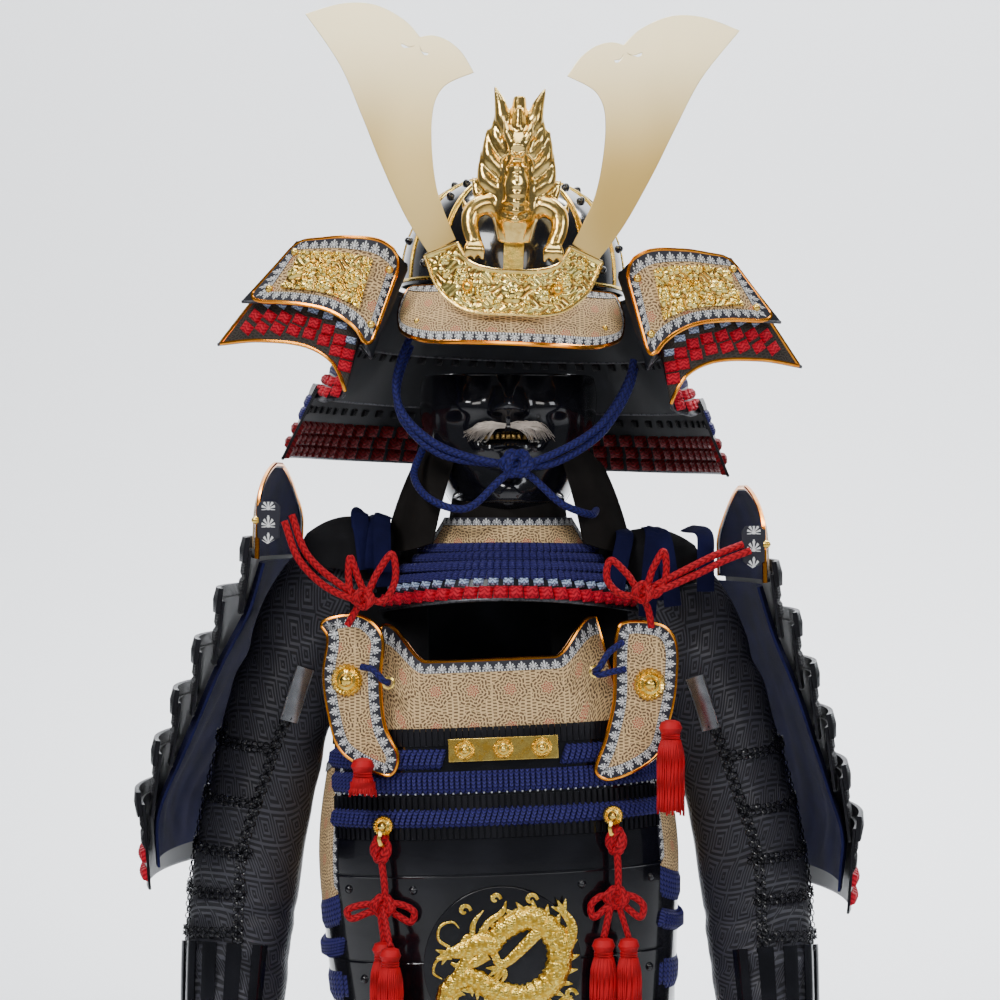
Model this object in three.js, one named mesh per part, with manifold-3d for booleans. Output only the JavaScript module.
// A samurai armour, worn with no wearer: helmet with horns and a dragon crest, face mask, throat
// guard, cuirass with skirts, shoulder guards, sleeves and the cords that tie them.
// Millimetres. +Z is up, the armour faces -Y, and +X is the wearer's left. The origin lies between
// the shoulders, level with the underside of the shoulder straps, where the wearer carries it.
import * as THREE from 'three';
import { mergeVertices } from 'three/addons/utils/BufferGeometryUtils.js';
import Module from 'manifold-3d';

const wasm = await Module();
wasm.setup();
const { Manifold, Mesh: SolidMesh } = wasm;

// ---- Driving dimensions ----
const PLATE = 2.5; // lacquered plates and lames
const CLOTH = 2.5; // sleeves and linings, quilted
const STRAP = 4; // padded shoulder straps
const GAP = 0.4; // between pieces that meet
const RIM_HEIGHT = 258; // the helmet bowl's rim above the shoulders
const HELMET_SHIFT = 12; // the helmet sits this far to the wearer's left
const HELMET_ROLL = 2.2; // degrees, tipped to the wearer's left
const CUIRASS_SHIFT = -13.4;
const CUIRASS_ROLL = -2.3; // degrees, tipped to the wearer's right
const MASK_SHIFT = 8;
const BOWL = { width: 222, length: 254, height: 114, hole: 24, squareness: 2.4 };
const WAIST_Z = -480; // the cuirass's lower edge
const SKIRT_Z = -760;
const TORSO_SQUARENESS = 2.6; // exponent of the cuirass's rounded-rectangle section
const CORD = 7.5; // silk cords

const MATERIALS = {
  blackLacquer: { color: 0x0c0d10, roughness: 0.2, metalness: 0.1 },
  blackCloth: { color: 0x17181c, roughness: 0.85, metalness: 0 },
  brass: { color: 0xd8c79c, roughness: 0.3, metalness: 1 },
  gold: { color: 0xe2ab3c, roughness: 0.22, metalness: 1 },
  leather: { color: 0xb79d73, roughness: 0.7, metalness: 0 },
  navyCloth: { color: 0x1b2450, roughness: 0.9, metalness: 0 },
  redSilk: { color: 0xb01322, roughness: 0.6, metalness: 0 },
};
const materialOf = (name) => new THREE.MeshStandardMaterial(MATERIALS[name]);

const RIGHT = { name: 'right', sign: -1 }; // the wearer's right
const LEFT = { name: 'left', sign: 1 };
const SIDES = [RIGHT, LEFT];
const radians = THREE.MathUtils.degToRad;
const mix = THREE.MathUtils.lerp;
const at = (x, y, z) => new THREE.Vector3(x, y, z);

// ---- Surfaces and walls ----
// A surface is a function of u and v, from 0 to 1. Seen from outside, u runs to the right and v
// runs down, so that the cross product of the two directions points into the armour.

function inwardNormal(surface, u, v, wrap) {
  const step = 1e-3;
  const before = wrap ? u - step : Math.max(0, u - step);
  const after = wrap ? u + step : Math.min(1, u + step);
  const across = surface(after, v).sub(surface(before, v));
  const down = surface(u, Math.min(1, v + step)).sub(surface(u, Math.max(0, v - step)));
  return across.cross(down).normalize();
}

// The same surface, moved inwards by a distance.
const moved = (surface, distance) => (u, v) =>
  surface(u, v).addScaledVector(inwardNormal(surface, u, v, false), distance);

// A part of a surface, as a surface of its own.
const patch = (surface, [u0, u1], [v0, v1]) => (u, v) => surface(mix(u0, u1, u), mix(v0, v1, v));

// The closed wall of a surface: its outer face, its inner face and the rims that join them.
function wall(surface, columns, rows, thickness, wrap = false) {
  const around = wrap ? columns : columns + 1;
  const positions = [];
  for (const depth of [0, thickness]) {
    for (let row = 0; row <= rows; row += 1) {
      for (let column = 0; column < around; column += 1) {
        const u = column / columns;
        const v = row / rows;
        const inward = inwardNormal(surface, u, v, wrap);
        positions.push(...surface(u, v).addScaledVector(inward, depth).toArray());
      }
    }
  }
  const inner = around * (rows + 1);
  const corner = (row, column) => row * around + (column % around);
  const faces = [];
  const quad = (a, b, c, d) => faces.push(a, b, c, a, c, d);
  for (let row = 0; row < rows; row += 1) {
    for (let column = 0; column < columns; column += 1) {
      const a = corner(row, column);
      const b = corner(row, column + 1);
      const c = corner(row + 1, column + 1);
      const d = corner(row + 1, column);
      quad(a, d, c, b);
      quad(inner + a, inner + b, inner + c, inner + d);
    }
  }
  for (let column = 0; column < columns; column += 1) {
    const [a, b] = [corner(0, column), corner(0, column + 1)];
    quad(b, inner + b, inner + a, a);
    const [c, d] = [corner(rows, column), corner(rows, column + 1)];
    quad(c, inner + c, inner + d, d);
  }
  for (let row = 0; row < rows && !wrap; row += 1) {
    const [a, b] = [corner(row, 0), corner(row + 1, 0)];
    quad(a, inner + a, inner + b, b);
    const [c, d] = [corner(row, columns), corner(row + 1, columns)];
    quad(d, inner + d, inner + c, c);
  }
  const geometry = new THREE.BufferGeometry();
  geometry.setAttribute('position', new THREE.Float32BufferAttribute(positions, 3));
  geometry.setIndex(faces);
  return geometry;
}

// A surface between two edges, each a smooth curve through its stations. Stations are rows of
// upper and lower points; belly bulges the middle outwards.
function between(stations, belly = 0) {
  const upper = new THREE.CatmullRomCurve3(stations.map(({ top }) => at(...top)), false, 'centripetal');
  const lower = new THREE.CatmullRomCurve3(
    stations.map(({ bottom }) => at(...bottom)), false, 'centripetal');
  const flat = (u, v) => upper.getPoint(u).lerp(lower.getPoint(u), v);
  if (!belly) return flat;
  return (u, v) =>
    flat(u, v).addScaledVector(inwardNormal(flat, u, v, false), -belly * 4 * v * (1 - v));
}

// Half a row of stations, from the back's or front's centre outwards, joined to its mirror image.
const mirrored = (stations) => {
  const flip = ([x, y, z]) => [-x, y, z];
  const other = stations.slice(1).map(({ top, bottom }) => ({ top: flip(top), bottom: flip(bottom) }));
  return { fromLeft: [...stations.slice().reverse(), ...other], fromRight: [...other.reverse(), ...stations] };
};

// ---- Solids ----
function solidOf(geometry) {
  const bare = geometry.clone();
  bare.deleteAttribute('normal');
  bare.deleteAttribute('uv');
  const merged = mergeVertices(bare, 1e-3);
  return new Manifold(new SolidMesh({
    numProp: 3,
    vertProperties: new Float32Array(merged.attributes.position.array),
    triVerts: new Uint32Array(merged.index.array),
  }));
}

function geometryOf(solid) {
  const mesh = solid.getMesh();
  const geometry = new THREE.BufferGeometry();
  geometry.setAttribute('position', new THREE.Float32BufferAttribute(mesh.vertProperties, 3));
  geometry.setIndex([...mesh.triVerts]);
  return geometry;
}

const joined = (geometries) =>
  geometryOf(geometries.map(solidOf).reduce((whole, piece) => whole.add(piece)));

// A flat plate with its back on the XZ plane and its face towards -Y.
function plate(points, thickness, curveSegments = 8) {
  const shape = points instanceof THREE.Shape ? points : new THREE.Shape(points);
  const options = { depth: thickness, bevelEnabled: false, curveSegments };
  return new THREE.ExtrudeGeometry(shape, options).rotateX(Math.PI / 2);
}

function tube(points, radius, steps, sides = 6, taper = 1) {
  const ring = Array.from({ length: sides }, (_, side) => {
    const angle = (2 * Math.PI * side) / sides;
    return new THREE.Vector2(radius * Math.cos(angle) * taper, radius * Math.sin(angle));
  });
  const extrudePath = new THREE.CatmullRomCurve3(points.map((point) => at(...point)));
  const options = { steps, extrudePath, bevelEnabled: false };
  return new THREE.ExtrudeGeometry(new THREE.Shape(ring), options);
}

function ellipsoid([x, y, z], [a, b, c], across = 8, down = 6) {
  return new THREE.SphereGeometry(1, across, down).scale(a, b, c).translate(x, y, z);
}

// ---- The group and its nodes ----
const armour = new THREE.Group();

function section(x = 0, z = 0, roll = 0) {
  const group = new THREE.Group();
  group.position.set(x, 0, z);
  group.rotation.y = radians(roll);
  armour.add(group);
  return group;
}

function place(group, name, material, geometry) {
  const node = new THREE.Mesh(geometry, materialOf(material));
  node.name = name;
  group.add(node);
  return node;
}

// ---- Helmet ----
const helmet = section(HELMET_SHIFT, RIM_HEIGHT, HELMET_ROLL);

function bowlSurface(u, v) {
  const power = 2 / BOWL.squareness;
  const smallest = (BOWL.hole / BOWL.width) ** (1 / power);
  const rise = mix(Math.acos(smallest), 0, v);
  const reach = Math.cos(rise) ** power;
  const angle = 2 * Math.PI * u;
  return at(
    (BOWL.width / 2) * reach * Math.sin(angle),
    (-BOWL.length / 2) * reach * Math.cos(angle),
    BOWL.height * Math.sin(rise) ** power);
}
place(helmet, 'helmet_bowl', 'blackLacquer', wall(bowlSurface, 28, 7, PLATE, true));

const visorStations = mirrored([
  { top: [0, -131, -3], bottom: [0, -182, -60] },
  { top: [39, -122, -3], bottom: [42, -175, -60] },
  { top: [74, -98, -3], bottom: [80, -150, -59] },
  { top: [93, -76, -3], bottom: [104, -118, -50] },
  { top: [100, -67, -3], bottom: [110, -92, -36] },
]);
place(helmet, 'helmet_visor', 'leather', wall(between(visorStations.fromRight, 3), 20, 3, PLATE));

// Each lame of the neck guard, from the back's centre round the side to its front end. The first
// two turn back outwards at the front: their last five stations are the turned-back panel.
const LAMES = [
  [
    { top: [0, 129, -6], bottom: [0, 166, -60] },
    { top: [82, 102, -6], bottom: [106, 128, -60] },
    { top: [115, 22, -6], bottom: [149, 26, -60] },
    { top: [115, -42, -4], bottom: [147, -46, -62] },
    { top: [109, -90, 4], bottom: [141, -102, -68] },
    { top: [104, -113, 14], bottom: [134, -125, -76] },
    { top: [126, -121, 34], bottom: [147, -130, -51] },
    { top: [161, -114, 38], bottom: [172, -123, -34] },
    { top: [188, -101, 36], bottom: [208, -111, -27] },
    { top: [210, -86, 34], bottom: [261, -88, -26] },
  ],
  [
    { top: [0, 168, -48], bottom: [0, 204, -112] },
    { top: [109, 132, -48], bottom: [135, 158, -112] },
    { top: [153, 24, -48], bottom: [191, 30, -112] },
    { top: [152, -44, -50], bottom: [189, -48, -114] },
    { top: [148, -88, -54], bottom: [177, -92, -118] },
    { top: [147, -106, -58], bottom: [159, -110, -112] },
    { top: [160, -110, -34], bottom: [169, -112, -84] },
    { top: [182, -102, -22], bottom: [194, -102, -68] },
    { top: [214, -92, -15], bottom: [242, -86, -63] },
    { top: [244, -79, -12], bottom: [285, -64, -67] },
  ],
  [
    { top: [0, 207, -100], bottom: [0, 238, -171] },
    { top: [138, 160, -100], bottom: [160, 184, -171] },
    { top: [194, 31, -102], bottom: [221, 34, -172] },
    { top: [192, -30, -104], bottom: [222, -20, -174] },
    { top: [188, -62, -106], bottom: [221, -38, -175] },
  ],
];
const lameSurfaces = LAMES.map((stations) => between(mirrored(stations).fromLeft));
const LAME_COLUMNS = [44, 44, 24];
lameSurfaces.forEach((surface, index) => {
  const name = `neck_guard_lame_${index + 1}`;
  place(helmet, name, 'blackLacquer', wall(surface, LAME_COLUMNS[index], 2, PLATE));
});

// The gold plates that lie on the turned-back panels of the first lame.
const ornamentBed = moved(lameSurfaces[0], PLATE + GAP);
const ORNAMENT = { inner: 0.16, outer: 0.035, upper: 0.22, lower: 0.8, thickness: 3 };
for (const { name, sign } of SIDES) {
  const span = [ORNAMENT.outer, ORNAMENT.inner];
  const reach = sign > 0 ? span : span.map((u) => 1 - u).reverse();
  const bed = patch(ornamentBed, reach, [ORNAMENT.upper, ORNAMENT.lower]);
  place(helmet, `turnback_ornament_${name}`, 'gold', wall(bed, 8, 2, ORNAMENT.thickness));
}

// The crescent base in front of the bowl, with two pockets for the horns and one for the crest.
const BASE = { front: -172, thickness: 9, bend: 0.0035 };
const baseStations = mirrored([
  { top: [0, 0, 8], bottom: [0, 0, -33] },
  { top: [22, 0, 9], bottom: [26, 0, -33] },
  { top: [41, 0, 15], bottom: [48, 0, -28] },
  { top: [49, 0, 25], bottom: [70, 0, -10] },
  { top: [53, 0, 33], bottom: [84, 0, 21] },
]);
const crescent = between(baseStations.fromRight);
const baseSurface = (u, v) => {
  const point = crescent(u, v);
  return point.setY(BASE.front + BASE.bend * point.x ** 2);
};
const HORN = { lean: 20.5, thickness: 2.5, y: -147, tang: { width: 16, length: 22 } };
const POCKET_PLAY = 0.4;

// A horn's root: the middle of the edge that it stands on, and the turn of its tang from upright.
const hornRoot = (sign) => at(sign * 67, HORN.y, 27.5);
function tangBlock(sign, width, length, thickness) {
  const block = new THREE.BoxGeometry(width, thickness, length).translate(0, 0, -length / 2);
  block.rotateY(radians(sign * HORN.lean));
  const root = hornRoot(sign);
  return block.translate(root.x, root.y - HORN.thickness / 2, root.z);
}
const CREST = { y: -166, post: { width: 18, thickness: 4 }, foot: -14 };
const crestSocket = new THREE.BoxGeometry(
  CREST.post.width + 2 * POCKET_PLAY, CREST.post.thickness + 2 * POCKET_PLAY, 44)
  .translate(0, CREST.y, CREST.foot - POCKET_PLAY + 22);
const hornPocket = ({ sign }) => {
  const { width, length } = HORN.tang;
  const cut = tangBlock(sign, width + 2 * POCKET_PLAY, length + 30 + POCKET_PLAY,
    HORN.thickness + 2 * POCKET_PLAY);
  const lift = 30;
  return cut.translate(sign * lift * Math.sin(radians(HORN.lean)), 0, lift * Math.cos(radians(HORN.lean)));
};
const pocketed = [...SIDES.map(hornPocket), crestSocket].reduce(
  (solid, cut) => solid.subtract(solidOf(cut)),
  solidOf(wall(baseSurface, 24, 2, BASE.thickness)));
place(helmet, 'horn_base', 'gold', geometryOf(pocketed));

function hornGeometry(sign) {
  const outline = new THREE.Shape();
  outline.moveTo(sign * 80.5, 23.5);
  outline.splineThru([[104, 58], [129, 107], [149, 152], [172, 200], [206, 246]]
    .map(([x, z]) => new THREE.Vector2(sign * x, z)));
  outline.splineThru([[172, 257], [141, 257], [113, 244], [97, 228]]
    .map(([x, z]) => new THREE.Vector2(sign * x, z)));
  outline.splineThru([[85, 230], [71, 226], [57, 215], [45, 197]]
    .map(([x, z]) => new THREE.Vector2(sign * x, z)));
  outline.splineThru([[74, 181], [83, 148], [76, 86], [54.5, 34.5]]
    .map(([x, z]) => new THREE.Vector2(sign * x, z)));
  outline.closePath();
  const blade = plate(outline, HORN.thickness, 3).translate(0, HORN.y, 0);
  const { width, length } = HORN.tang;
  const overlap = 6;
  const tang = tangBlock(sign, width, length + overlap, HORN.thickness).translate(
    sign * overlap * Math.sin(radians(HORN.lean)), 0, overlap * Math.cos(radians(HORN.lean)));
  return joined([blade, tang]);
}
for (const { name, sign } of SIDES) place(helmet, `horn_${name}`, 'brass', hornGeometry(sign));

// The crest: a dragon's head and forequarters on a flat post that drops into the base.
function crestGeometry() {
  const { y, post, foot } = CREST;
  const pieces = [
    new THREE.BoxGeometry(post.width, post.thickness, 64).translate(0, y, foot + 32),
    ellipsoid([0, y - 4, 64], [30, 22, 22]),
    new THREE.CylinderGeometry(13, 24, 78, 10).rotateX(Math.PI / 2).translate(0, y, 108),
    ellipsoid([0, y - 24, 94], [11, 24, 11]),
    ellipsoid([0, y - 8, 122], [15, 15, 17]),
    new THREE.ConeGeometry(5, 34, 8).rotateX(Math.PI / 2).translate(0, y, 154),
  ];
  for (const { sign } of SIDES) {
    const shoulder = [sign * 24, y - 6, 68];
    const elbow = [sign * 42, y - 10, 58];
    const wrist = [sign * 37, y - 20, 30];
    pieces.push(tube([shoulder, elbow, wrist], 8, 8));
    pieces.push(ellipsoid([sign * 37, y - 21, 24], [10, 9, 9]));
    pieces.push(tube([[sign * 10, y, 130], [sign * 18, y, 155], [sign * 22, y, 180]], 5, 4, 6, 0.8));
    pieces.push(new THREE.BoxGeometry(4, 16, 40).rotateY(sign * 0.25).translate(sign * 25, y, 100));
    pieces.push(new THREE.BoxGeometry(20, 8, 24).translate(sign * 14, y, 96));
  }
  return joined(pieces);
}
place(helmet, 'dragon_crest', 'gold', crestGeometry());

// ---- Face mask and throat guard ----
const face = section(MASK_SHIFT);
const MASK_ROWS = [
  { z: 172, half: 85, front: 86, nose: 0 },
  { z: 158, half: 88, front: 89, nose: 14 },
  { z: 142, half: 88, front: 92, nose: 24 },
  { z: 128, half: 86, front: 93, nose: 10 },
  { z: 104, half: 80, front: 96, nose: 2 },
  { z: 74, half: 70, front: 95, nose: 0 },
  { z: 50, half: 58, front: 92, nose: 3 },
  { z: 37, half: 44, front: 78, nose: 0 },
];
// A row between the rows of a table whose rows are evenly numbered, eased by a spline.
function rowAt(table, v) {
  const keys = Object.keys(table[0]);
  const place01 = v * (table.length - 1);
  const first = Math.min(Math.floor(place01), table.length - 2);
  const pick = (index) => table[THREE.MathUtils.clamp(index, 0, table.length - 1)];
  const [a, b, c, d] = [first - 1, first, first + 1, first + 2].map(pick);
  const t = place01 - first;
  const ease = (key) => {
    const [p, q, r, s] = [a[key], b[key], c[key], d[key]];
    return q + 0.5 * t * (r - p + t * (2 * p - 5 * q + 4 * r - s + t * (3 * (q - r) + s - p)));
  };
  return Object.fromEntries(keys.map((key) => [key, ease(key)]));
}
// A row of a table at a height, for tables with a falling z.
function rowAtHeight(table, z) {
  const last = table.length - 1;
  if (z >= table[0].z) return table[0];
  if (z <= table[last].z) return table[last];
  const index = table.findIndex((row) => row.z < z) - 1;
  const share = (table[index].z - z) / (table[index].z - table[index + 1].z);
  return rowAt(table, (index + share) / last);
}
const MASK_REACH = 88; // degrees to each side
const NOSE_WIDTH = 12;
function maskSurface(u, v) {
  const row = rowAt(MASK_ROWS, v);
  const angle = radians(mix(-MASK_REACH, MASK_REACH, u));
  const x = row.half * Math.sin(angle);
  const nose = row.nose * Math.exp(-((x / NOSE_WIDTH) ** 2));
  return at(x, -row.front * Math.cos(angle) - nose, row.z);
}
place(face, 'face_mask', 'blackLacquer', wall(maskSurface, 22, 10, PLATE));

// The throat guard hangs below the mask in three tiers, each outside the one above it.
const THROAT_REACH = 66; // degrees to each side
const THROAT_TIERS = [
  { name: 'throat_guard_collar', material: 'leather', top: { half: 68, front: 94, z: 33 },
    bottom: { half: 88, front: 112, z: 4, droop: 2 } },
  { name: 'throat_guard_lame_1', material: 'navyCloth', top: { half: 92, front: 116, z: 9 },
    bottom: { half: 116, front: 133, z: -25, droop: 8 } },
  { name: 'throat_guard_lame_2', material: 'blackLacquer', top: { half: 119, front: 137, z: -17 },
    bottom: { half: 139, front: 149, z: -44, droop: 16 } },
];
THROAT_TIERS.forEach(({ name, material, top, bottom }, index) => {
  const droopAbove = index ? THROAT_TIERS[index - 1].bottom.droop : 0;
  const surface = (u, v) => {
    const angle = radians(mix(-THROAT_REACH, THROAT_REACH, u));
    const droop = mix(droopAbove, bottom.droop, v) * Math.sin(angle) ** 2;
    return at(
      mix(top.half, bottom.half, v) * Math.sin(angle),
      -mix(top.front, bottom.front, v) * Math.cos(angle),
      mix(top.z, bottom.z, v) - droop);
  };
  place(face, name, material, wall(surface, 18, 2, PLATE));
});

// ---- Cuirass ----
const cuirass = section(CUIRASS_SHIFT, 0, CUIRASS_ROLL);
const TORSO = [
  { z: -20, half: 126, front: 92, back: 95 },
  { z: -70, half: 136, front: 108, back: 108 },
  { z: -120, half: 147, front: 119, back: 114 },
  { z: -170, half: 160, front: 126, back: 117 },
  { z: -275, half: 178, front: 131, back: 118 },
  { z: -360, half: 177, front: 130, back: 115 },
  { z: WAIST_Z, half: 169, front: 126, back: 110 },
];
// How deep the torso is at a place across it.
const depthAt = (x, half, depth) =>
  depth * Math.max(0, 1 - Math.abs(x / half) ** TORSO_SQUARENESS) ** (1 / TORSO_SQUARENESS);
const frontAt = (x, z) => {
  const row = rowAtHeight(TORSO, z);
  return at(x, -depthAt(x, row.half, row.front), z);
};
const backAt = (x, z) => {
  const row = rowAtHeight(TORSO, z);
  return at(x, depthAt(x, row.half, row.back), z);
};

const FRONT_HALF = 157; // half the width of the cuirass's front section
const CHEST = { foot: -170, neckHalf: 62, neckFloor: -104, corner: 100, cornerTop: -68, footHalf: 128 };
// The chest's upper edge: flat below the throat, rising in a curve to its two corners.
function chestTop(x) {
  const rise = THREE.MathUtils.smoothstep(Math.abs(x), CHEST.neckHalf, CHEST.corner);
  return mix(CHEST.neckFloor, CHEST.cornerTop, rise);
}
const chestSurface = (u, v) => {
  const spread = 2 * u - 1;
  const z = mix(chestTop(spread * CHEST.corner * 1.04), CHEST.foot, v);
  return frontAt(spread * mix(CHEST.corner * 1.04, CHEST.footHalf, v), z);
};
place(cuirass, 'cuirass_chest', 'leather', wall(chestSurface, 24, 4, PLATE));

// The rows below the chest, each a band of the front.
const FRONT_ROWS = [
  { name: 'cuirass_laced_band', top: CHEST.foot, foot: -273, rows: 3 },
  { name: 'cuirass_front_plate_1', top: -273, foot: -307, rows: 1 },
  { name: 'cuirass_front_plate_2', top: -307, foot: -390, rows: 2 },
  { name: 'cuirass_front_plate_3', top: -390, foot: WAIST_Z, rows: 2 },
];
for (const { name, top, foot, rows } of FRONT_ROWS) {
  const surface = (u, v) => frontAt(mix(-FRONT_HALF, FRONT_HALF, u), mix(top - GAP, foot, v));
  place(cuirass, name, 'blackLacquer', wall(surface, 22, rows, PLATE));
}

const BACK_HALVES = [
  { z: -25, half: 98 }, { z: -70, half: 108 }, { z: -120, half: 122 }, { z: -170, half: 150 },
  { z: -200, half: FRONT_HALF }, { z: WAIST_Z, half: FRONT_HALF },
];
const backSurface = (u, v) => {
  const z = mix(BACK_HALVES[0].z, WAIST_Z, v);
  const half = Math.min(FRONT_HALF, rowAtHeight(BACK_HALVES, z).half);
  return backAt(mix(half, -half, u), z);
};
place(cuirass, 'cuirass_back', 'blackLacquer', wall(backSurface, 16, 7, PLATE));

// Side panels close the trunk under the arms, inside the edges of front and back.
const SIDE = { from: 57, to: 123, inset: 7, armhole: -204, lift: 26 };
function sideSurface(u, v, sign) {
  const turn = mix(SIDE.from, SIDE.to, sign > 0 ? u : 1 - u);
  const dip = (Math.abs(turn - 90) / (SIDE.to - 90)) ** 2;
  const z = mix(SIDE.armhole + SIDE.lift * dip, WAIST_Z, v);
  const { half, front, back } = rowAtHeight(TORSO, z);
  const power = 2 / TORSO_SQUARENESS;
  const angle = radians(turn);
  const along = Math.sign(Math.cos(angle)) * Math.abs(Math.cos(angle)) ** power;
  const depth = (turn < 90 ? front : back) - SIDE.inset;
  return at(sign * (half - SIDE.inset) * Math.sin(angle) ** power, -depth * along, z);
}
for (const { name, sign } of SIDES) {
  const surface = (u, v) => sideSurface(u, v, sign);
  place(cuirass, `side_panel_${name}`, 'blackLacquer', wall(surface, 10, 5, PLATE));
}

// Shoulder straps, from the back's upper edge over the shoulder to above the chest's corners.
const STRAP_HALF = 22;
const STRAP_LINE = [[0, 76, -21], [0, 58, -2], [0, 26, 7], [0, -8, 6], [0, -32, -6], [0, -45, -30],
  [0, -56, -64]];
for (const { name, sign } of SIDES) {
  const line = new THREE.CatmullRomCurve3(STRAP_LINE.map((point) => at(...point)));
  const surface = (u, v) => line.getPoint(1 - u).add(at(sign * 84 + mix(STRAP_HALF, -STRAP_HALF, v), 0, 0));
  place(cuirass, `shoulder_strap_${name}`, 'blackCloth', wall(surface, 14, 1, STRAP));
}

// The breast guards hang over the gaps between the chest and the arms.
const GUARD_OUTLINES = {
  right: [[-33, 66], [-3, 74], [12, 70], [26, 54], [24, 14], [29, -33], [42, -62], [35, -78],
    [7, -70], [-15, -54], [-26, -20], [-31, 18], [-27, 54]],
  left: [[-34, 66], [5, 64], [18, 50], [19, 10], [13, -24], [0, -60], [-48, -82], [-59, -75],
    [-50, -46], [-41, -8], [-40, 40], [-38, 58]],
};
const GUARD_PLACES = {
  right: { x: -139, y: -117, z: -135, turn: -12 },
  left: { x: 150, y: -117, z: -135, turn: 12 },
};
for (const { name } of SIDES) {
  const { x, y, z, turn } = GUARD_PLACES[name];
  const outline = GUARD_OUTLINES[name].map(([across, up]) => new THREE.Vector2(across, up));
  const guard = place(armour, `breast_guard_${name}`, 'leather', plate(outline, PLATE));
  guard.position.set(x, y, z);
  guard.rotation.z = radians(turn);
}

// The gold plate on the laced band and the round medallion on the lower front.
const BADGE = { width: 104, height: 21, thickness: 2.5, x: 9, z: -188 };
const badge = new THREE.BoxGeometry(BADGE.width, BADGE.thickness, BADGE.height)
  .translate(BADGE.x, -130.5, BADGE.z);
place(cuirass, 'chest_ornament', 'gold', badge);
const MEDALLION = { radius: 75, thickness: 4, z: -395 };
const disc = new THREE.CylinderGeometry(MEDALLION.radius, MEDALLION.radius, MEDALLION.thickness, 32)
  .translate(0, -134, MEDALLION.z);
place(cuirass, 'medallion', 'gold', disc);

// The skirt: four hanging panels with gaps between them for the legs.
const SKIRTS = [
  { name: 'front', middle: 0, reach: 40 }, { name: 'left', middle: 90, reach: 30 },
  { name: 'back', middle: 180, reach: 40 }, { name: 'right', middle: 270, reach: 30 },
];
const SKIRT = { top: WAIST_Z - 3, flare: 52 };
for (const { name, middle, reach } of SKIRTS) {
  const surface = (u, v) => {
    const angle = radians(middle + mix(-reach, reach, u));
    const power = 2 / TORSO_SQUARENESS;
    const spread = (value) => Math.sign(value) * Math.abs(value) ** power;
    const { half, front, back } = TORSO[TORSO.length - 1];
    const depth = Math.cos(angle) > 0 ? front : back;
    return at(
      (half + SKIRT.flare * v) * spread(Math.sin(angle)),
      -(depth + SKIRT.flare * v) * spread(Math.cos(angle)),
      mix(SKIRT.top, SKIRT_Z, v));
  };
  place(cuirass, `skirt_${name}`, 'blackLacquer', wall(surface, 10, 4, PLATE));
}

// ---- Shoulder guards ----
// Each hangs beside the upper arm: a curved top plate and six lames, each outside the one above.
const SODE = { rows: 6, pitch: 48.5, lap: 60, middle: -5, halfWidth: 135, lean: 8, bow: 20, fall: 24 };
const SODE_SHARES = [0, 0.25, 0.46, 0.66, 0.84, 1]; // how far out each lame's head stands
const SODE_PLACES = {
  right: { outTop: 239, outFoot: 341, z: 2 },
  left: { outTop: 260, outFoot: 339, z: -21 },
};
// A point of a shoulder guard: w runs from -1 at its front edge to 1 at its back edge.
const sodePoint = (sign, out, w, z) => at(
  sign * (out - (SODE.fall / 2) * (1 + w) + SODE.bow * (1 - w * w)),
  SODE.middle + SODE.halfWidth * w, z);
// A surface of a shoulder guard down a line of places, seen from outside.
const sodeSurface = (sign, line) => (u, v) => {
  const { out, z } = rowAt(line, v);
  return sodePoint(sign, out, sign > 0 ? 2 * u - 1 : 1 - 2 * u, z);
};
for (const { name, sign } of SIDES) {
  const { outTop, outFoot, z } = SODE_PLACES[name];
  const heads = SODE_SHARES.map((share, row) => ({
    out: mix(outTop, outFoot, share), z: z - SODE.pitch * row }));
  const crown = [{ out: outTop - 24, z: z + 84 }, { out: outTop - 9, z: z + 45 },
    { out: outTop - 6, z: z - 8 }];
  place(armour, `sode_top_${name}`, 'navyCloth', wall(sodeSurface(sign, crown), 10, 4, PLATE));
  heads.forEach((head, row) => {
    const last = row === SODE.rows - 1;
    const foot = last ? { out: head.out - 6, z: head.z - 80 }
      : { out: head.out + SODE.lean, z: head.z - SODE.lap };
    const surface = sodeSurface(sign, [head, foot]);
    place(armour, `sode_lame_${row + 1}_${name}`, 'blackLacquer', wall(surface, 10, 1, PLATE));
  });
  const lining = heads.map((head, row) => ({
    out: head.out + (row === SODE.rows - 1 ? -14 : 3), z: head.z - SODE.lap }));
  lining.unshift({ out: outTop - 12, z: z - 12 });
  const cloth = moved(sodeSurface(sign, lining), 1);
  place(armour, `sode_lining_${name}`, 'navyCloth', wall(cloth, 10, 6, CLOTH));
}

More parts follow.
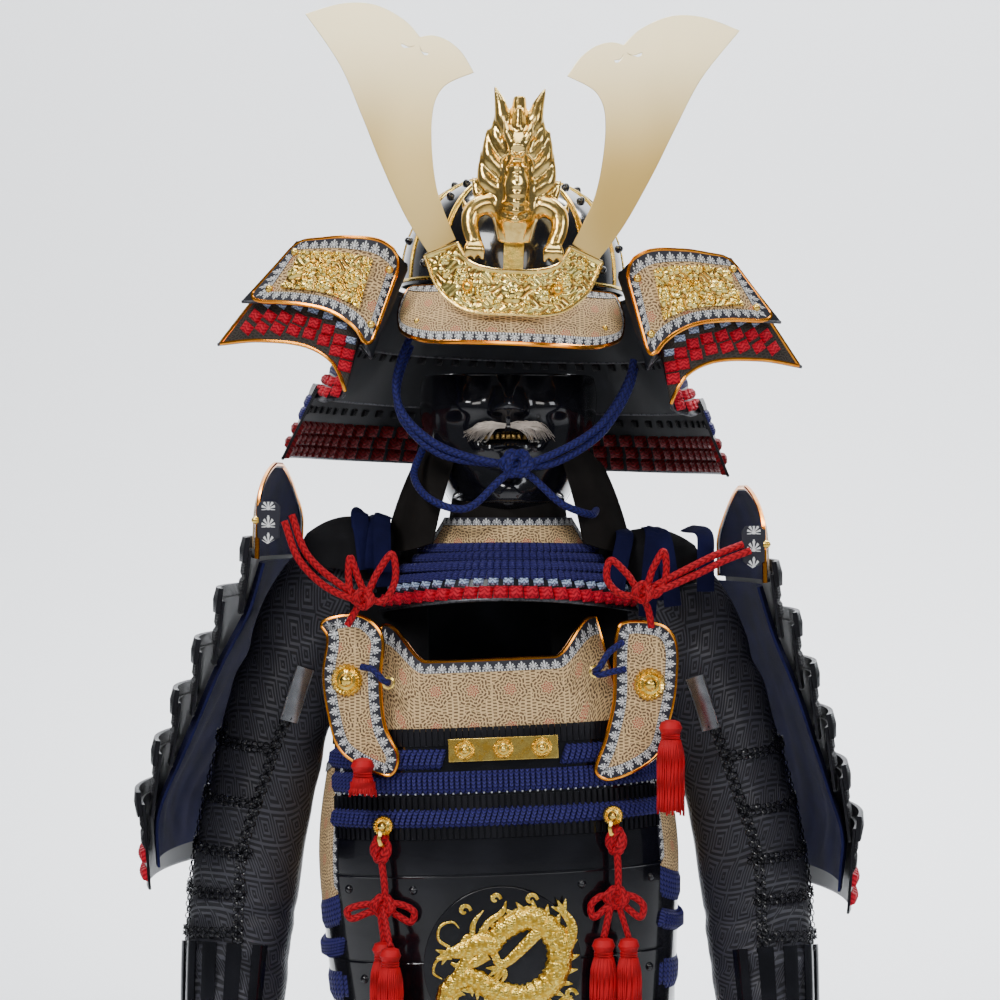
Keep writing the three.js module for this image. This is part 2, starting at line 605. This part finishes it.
// ---- Sleeves ----
// A sleeve runs from the shoulder down the arm to the wrist, bent a little at the elbow. Each row
// is a ring: its centre and its radius.
const SLEEVE_ROWS = [
  { x: 126, y: 5, z: -26, radius: 55 },
  { x: 158, y: 5, z: -38, radius: 57 },
  { x: 186, y: 5, z: -68, radius: 53 },
  { x: 206, y: 5, z: -118, radius: 52 },
  { x: 226, y: 4, z: -185, radius: 53 },
  { x: 243, y: 2, z: -260, radius: 53 },
  { x: 253, y: 0, z: -320, radius: 54 },
  { x: 259, y: -4, z: -372, radius: 53 },
  { x: 263, y: -14, z: -432, radius: 50 },
  { x: 267, y: -30, z: -510, radius: 44 },
  { x: 271, y: -48, z: -590, radius: 37 },
  { x: 273, y: -58, z: -645, radius: 32 },
];
const SHOULDER_DROP = 12; // the wearer's left shoulder hangs this much lower
function sleeveSurface(u, v, sign) {
  const centre = (share) => {
    const { x, y, z } = rowAt(SLEEVE_ROWS, share);
    const drop = sign > 0 ? SHOULDER_DROP * (1 - share) : 0;
    return at(sign * x, y, z - drop);
  };
  const step = 1e-3;
  const along = centre(Math.min(1, v + step)).sub(centre(Math.max(0, v - step))).normalize();
  const forward = at(0, -1, 0).addScaledVector(along, along.y).normalize();
  const right = forward.clone().cross(along).normalize();
  const angle = 2 * Math.PI * u;
  const { radius } = rowAt(SLEEVE_ROWS, v);
  return centre(v)
    .addScaledVector(forward, radius * Math.cos(angle))
    .addScaledVector(right, -radius * Math.sin(angle));
}
for (const { name, sign } of SIDES) {
  const surface = (u, v) => sleeveSurface(u, v, sign);
  place(armour, `sleeve_${name}`, 'blackCloth', wall(surface, 16, 13, CLOTH, true));
}

// A hand guard covers the back of each hand, below the cuff.
const HAND = { x: 273, y: -58, top: -634, foot: -735, radius: 45, from: -50, to: 88 };
for (const { name, sign } of SIDES) {
  const surface = (u, v) => {
    const turn = radians(mix(HAND.from, HAND.to, sign > 0 ? u : 1 - u));
    const radius = HAND.radius * (1 - 0.3 * v * v);
    return at(sign * (HAND.x + radius * Math.sin(turn)), HAND.y - radius * Math.cos(turn),
      mix(HAND.top, HAND.foot, v));
  };
  place(armour, `hand_guard_${name}`, 'blackLacquer', wall(surface, 10, 4, PLATE));
}

// ---- Cords ----
// A doubled bow: a knot with two loops, drawn as one body with the strand that carries it.
const loop = ([x, y, z], [across, up]) => {
  const ring = [[0, 0], [0.45, 0.5], [0.9, 0.85], [1, 0.35], [0.6, -0.05], [0, 0]];
  return ring.map(([a, b]) => [x + across * a, y - 1.5 * a, z + up * b]);
};

// The helmet's chin cord: from both sides of the helmet, over the cheeks, to a knot at the chin,
// with two lower strands that pass under the jaw.
const CHIN_KNOT = [16, -121, 84];
const CHIN_CORD = [[-88, -80, 208], [-97, -89, 184], [-101, -97, 160], [-94, -103, 134], [-58, -113, 102],
  CHIN_KNOT, [46, -118, 92], [92, -105, 118], [114, -95, 146], [126, -88, 170], [130, -84, 186]];
const CHIN_LOWER = [[-76, -52, 100], [-84, -76, 74], [-66, -106, 50], [-32, -119, 42], [16, -121, 78],
  [60, -114, 46], [88, -92, 36], [94, -64, 40]];
place(armour, 'chin_cord', 'navyCloth', joined([
  tube(CHIN_CORD, CORD / 2, 26), tube(CHIN_LOWER, CORD / 2, 22),
  ellipsoid(CHIN_KNOT, [19, 8, 11])]));

// The red shoulder cords: from the shoulder guard's front corner to a bow above the breast guard.
const SHOULDER_CORDS = {
  right: { line: [[-205, -150, 30], [-190, -152, -8], [-160, -146, -36], [-130, -141, -44]],
    loops: [[-14, 46], [30, 50]], tail: [[-130, -141, -44], [-138, -134, -56], [-146, -131, -70]] },
  left: { line: [[238, -150, 2], [212, -152, -8], [184, -148, -22], [136, -141, -38]],
    loops: [[-34, 36], [22, 46]], tail: [[136, -141, -38], [142, -134, -56], [145, -131, -72]] },
};
for (const { name } of SIDES) {
  const { line, loops, tail } = SHOULDER_CORDS[name];
  const knot = line[line.length - 1];
  place(armour, `shoulder_cord_${name}`, 'redSilk', joined([
    tube(line, CORD * 0.8, 14), tube(tail, CORD / 2, 6), ellipsoid(knot, [10, 7, 9]),
    ...loops.map((size) => tube(loop(knot, size), CORD / 2, 14))]));
}

// Tassels: a small head over a straight fringe, on the axis of a lathe.
function tassel([x, y, z], head, fringe, length) {
  const profile = [[0, 0], [head * 0.7, -1], [head, -head], [head * 0.8, -1.8 * head],
    [fringe, -2.6 * head], [fringe * 1.08, -length], [0, -length]];
  return new THREE.LatheGeometry(profile.map(([r, down]) => new THREE.Vector2(r, down)).reverse(), 12)
    .rotateX(Math.PI / 2).translate(x, y, z);
}
const CHEST_TASSELS = {
  right: { ring: [-112, -124, -266], knot: [-114, -130, -284], bow: [-112, -131, -338],
    loops: [[-34, -14], [30, -18]], heads: [[-111, -132, -372], [-104, -156, -374]] },
  left: { ring: [108, -124, -256], knot: [111, -130, -276], bow: [111, -131, -330],
    loops: [[-24, -22], [26, -22]], heads: [[99, -134, -368], [123, -134, -368]] },
};
for (const { name } of SIDES) {
  const { ring, knot, bow, loops, heads } = CHEST_TASSELS[name];
  place(armour, `chest_tassel_${name}`, 'redSilk', joined([
    tube([ring, knot, bow], CORD * 0.9, 14), ellipsoid(knot, [10, 7, 9]),
    ellipsoid(bow, [12, 8, 9]), ...loops.map((size) => tube(loop(bow, size), CORD / 2, 12)),
    ...heads.map((head) => tube([bow, head], CORD / 2, 2)),
    ...heads.map((head) => tassel(head, 9, 12, 118))]));
}
const GUARD_TASSELS = {
  right: { head: [-131, -138, -196], length: 38 },
  left: { head: [163, -134, -160], length: 92 },
};
for (const { name } of SIDES) {
  const { head, length } = GUARD_TASSELS[name];
  place(armour, `guard_tassel_${name}`, 'redSilk', tassel(head, 8, 14, length));
}

export default armour;
